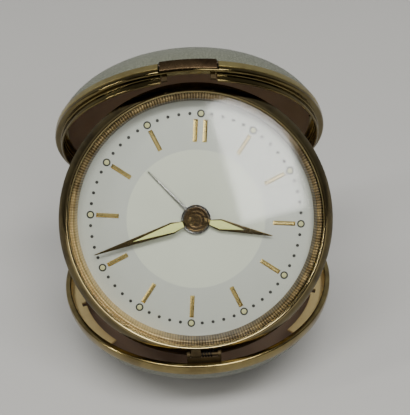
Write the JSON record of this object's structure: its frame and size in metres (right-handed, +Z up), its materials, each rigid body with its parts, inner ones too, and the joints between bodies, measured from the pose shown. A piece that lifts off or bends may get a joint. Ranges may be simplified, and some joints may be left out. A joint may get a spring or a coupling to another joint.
{
  "type": "folding travel alarm clock",
  "caption": "Round folding travel alarm clock in a domed two-part case, its sprung clock head standing open, with dial, hands, glass, keys, catch and a geared movement.",
  "frame": {"origin": "on the table under the middle of the base's foot", "axes": "+Z up, +Y to the back where the lid is hinged, +X to the right seen from the front"},
  "size_m": [0.0772, 0.0838, 0.0893],
  "materials": {
    "cover_paint": "grained grey-green paint",
    "brass": "polished",
    "satin_brass": "satin",
    "drum_brass": "spun satin",
    "lining_plastic": "moulded plum brown",
    "foot_rubber": "matte",
    "steel": "plain",
    "spring_steel": "blued",
    "glass": "clear acrylic",
    "dial_paint": "matt grey cream",
    "gilt": "dull gilt",
    "lume": "aged luminous paste",
    "movement_brass": "plain",
    "key_brass": "turned"
  },
  "bodies": {
    "base": {"base_cover": "cover_paint", "base_rim": "brass", "base_ledge": "satin_brass", "base_lining": "lining_plastic", "base_foot": "foot_rubber", "base_hinge_leaf": "brass", "lid_hinge_pin": "steel", "head_hinge_bracket": "brass", "head_hinge_pin": "steel", "head_hinge_spring": "spring_steel"},
    "lid": {"lid_cover": "cover_paint", "lid_rim": "brass", "lid_ledge": "satin_brass", "lid_lining": "lining_plastic", "lid_hinge_leaf": "brass", "catch_spring": "spring_steel"},
    "catch": {"catch_button": "brass"},
    "head": {"bezel": "brass", "head_knuckle": "brass", "crystal": "glass", "inner_ring": "satin_brass", "dial": "dial_paint", "hour_batons": "gilt", "lume_dots": "lume", "movement_ring": "movement_brass", "case_drum": "drum_brass", "back_cover": "drum_brass", "cover_screws": "steel", "front_plate": "movement_brass", "back_plate": "movement_brass", "plate_pillars": "steel", "plate_screws": "steel", "hairspring": "spring_steel"},
    "minute": {"minute_hand": "gilt", "minute_hand_lume": "lume", "centre_arbor": "movement_brass", "time_knob": "key_brass"},
    "hour": {"hour_hand": "gilt", "hour_hand_lume": "lume", "hour_wheel": "movement_brass"},
    "minute_wheel": {"minute_wheel": "movement_brass"},
    "alarm": {"alarm_hand": "gilt", "alarm_wheel": "movement_brass"},
    "alarm_set": {"alarm_setter": "movement_brass", "alarm_knob": "key_brass"},
    "main_barrel": {"main_barrel": "movement_brass", "mainspring": "spring_steel"},
    "main_key": {"main_key": "key_brass"},
    "alarm_barrel": {"alarm_barrel": "movement_brass"},
    "alarm_key": {"alarm_key": "key_brass"},
    "centre_wheel": {"centre_wheel": "movement_brass"},
    "third_wheel": {"third_wheel": "movement_brass"},
    "fourth_wheel": {"fourth_wheel": "movement_brass"},
    "escape_wheel": {"escape_wheel": "movement_brass"},
    "pallet_lever": {"pallet_lever": "steel"},
    "balance": {"balance_wheel": "movement_brass"},
    "alarm_escape": {"alarm_escape_wheel": "movement_brass"},
    "alarm_hammer": {"alarm_hammer": "steel"},
    "regulator": {"regulator": "steel"},
    "alarm_stop": {"alarm_stop_lever": "steel"}
  },
  "joints": [
    {"name": "lid_hinge", "type": "hinge", "parent": "base", "child": "lid", "pos_m": [0, 0.0394, 0.0205], "axis": [-1, 0, 0], "range_deg": [0, 40]},
    {"name": "head_hinge", "type": "hinge", "parent": "base", "child": "head", "pos_m": [0, -0.0353, 0.0217], "axis": [1, 0, 0], "range_deg": [-59.1, 0], "stiffness_Nm_per_rad": 0.03, "springref_deg": 68.75, "deforming": ["head_hinge_spring"]},
    {"name": "catch_slide", "type": "slide", "parent": "lid", "child": "catch", "axis": [0, 0.5165, -0.8563], "range_m": [0, 0.0005], "stiffness_N_per_m": 400, "springref_m": -0.0005, "deforming": ["catch_spring"]},
    {"name": "minute_turn", "type": "hinge", "parent": "head", "child": "minute", "pos_m": [0, -0.00833, 0.0467], "axis": [0, -0.8581, 0.5135], "continuous": true},
    {"name": "hour_turn", "type": "hinge", "parent": "head", "child": "hour", "pos_m": [0, -0.00833, 0.0467], "axis": [0, -0.8581, 0.5135], "continuous": true},
    {"name": "minute_wheel_turn", "type": "hinge", "parent": "head", "child": "minute_wheel", "pos_m": [0.00648, -0.00994, 0.04401], "axis": [0, -0.8581, 0.5135], "continuous": true},
    {"name": "alarm_turn", "type": "hinge", "parent": "head", "child": "alarm", "pos_m": [0, -0.00833, 0.0467], "axis": [0, -0.8581, 0.5135], "continuous": true},
    {"name": "alarm_set_turn", "type": "hinge", "parent": "head", "child": "alarm_set", "pos_m": [-0.00951, -0.00766, 0.04782], "axis": [0, -0.8581, 0.5135], "continuous": true},
    {"name": "third_turn", "type": "hinge", "parent": "head", "child": "third_wheel", "pos_m": [0.00786, -0.00608, 0.05047], "axis": [0, -0.8581, 0.5135], "continuous": true},
    {"name": "centre_turn", "type": "hinge", "parent": "head", "child": "centre_wheel", "pos_m": [0, -0.00833, 0.0467], "axis": [0, -0.8581, 0.5135], "continuous": true},
    {"name": "fourth_turn", "type": "hinge", "parent": "head", "child": "fourth_wheel", "pos_m": [0.00731, -0.00225, 0.05687], "axis": [0, -0.8581, 0.5135], "continuous": true},
    {"name": "escape_turn", "type": "hinge", "parent": "head", "child": "escape_wheel", "pos_m": [0.00077, -0.0013, 0.05846], "axis": [0, -0.8581, 0.5135], "continuous": true},
    {"name": "main_barrel_turn", "type": "hinge", "parent": "head", "child": "main_barrel", "pos_m": [-0.00535, -0.01402, 0.0372], "axis": [0, -0.8581, 0.5135], "continuous": true},
    {"name": "main_key_turn", "type": "hinge", "parent": "head", "child": "main_key", "pos_m": [-0.00535, -0.01402, 0.0372], "axis": [0, -0.8581, 0.5135], "continuous": true},
    {"name": "alarm_barrel_turn", "type": "hinge", "parent": "head", "child": "alarm_barrel", "pos_m": [0.0125, -0.01363, 0.03786], "axis": [0, -0.8581, 0.5135], "continuous": true},
    {"name": "alarm_escape_turn", "type": "hinge", "parent": "head", "child": "alarm_escape", "pos_m": [0.01499, -0.01027, 0.04347], "axis": [0, -0.8581, 0.5135], "continuous": true},
    {"name": "alarm_key_turn", "type": "hinge", "parent": "head", "child": "alarm_key", "pos_m": [0.0125, -0.01363, 0.03786], "axis": [0, -0.8581, 0.5135], "continuous": true},
    {"name": "pallet_rock", "type": "hinge", "parent": "head", "child": "pallet_lever", "pos_m": [-0.00542, -0.00153, 0.05807], "axis": [0, -0.8581, 0.5135], "range_deg": [-5, 5]},
    {"name": "balance_swing", "type": "hinge", "parent": "head", "child": "balance", "pos_m": [-0.01159, -0.00323, 0.05523], "axis": [0, -0.8581, 0.5135], "range_deg": [-120, 120], "stiffness_Nm_per_rad": 0.000002, "deforming": ["hairspring"]},
    {"name": "hammer_rock", "type": "hinge", "parent": "head", "child": "alarm_hammer", "pos_m": [0.01942, -0.00877, 0.04596], "axis": [0, -0.8581, 0.5135], "range_deg": [-5, 5]},
    {"name": "regulator_swing", "type": "hinge", "parent": "head", "child": "regulator", "pos_m": [-0.01159, -0.00323, 0.05523], "axis": [0, -0.8581, 0.5135], "range_deg": [-20, 20]},
    {"name": "alarm_stop_swing", "type": "hinge", "parent": "head", "child": "alarm_stop", "pos_m": [-0.01654, -0.01455, 0.03631], "axis": [0, -0.8581, 0.5135], "range_deg": [-15, 15]}
  ],
  "couplings": [
    {"joint": "hour_turn", "follows": "minute_turn", "ratio": 0.083333},
    {"joint": "minute_wheel_turn", "follows": "minute_turn", "ratio": -0.33333},
    {"joint": "alarm_set_turn", "follows": "alarm_turn", "ratio": -3},
    {"joint": "centre_turn", "follows": "third_turn", "ratio": -0.125},
    {"joint": "fourth_turn", "follows": "third_turn", "ratio": -7.5},
    {"joint": "escape_turn", "follows": "third_turn", "ratio": 56.25},
    {"joint": "main_barrel_turn", "follows": "third_turn", "ratio": 0.017361},
    {"joint": "alarm_escape_turn", "follows": "alarm_barrel_turn", "ratio": -6}
  ]
}
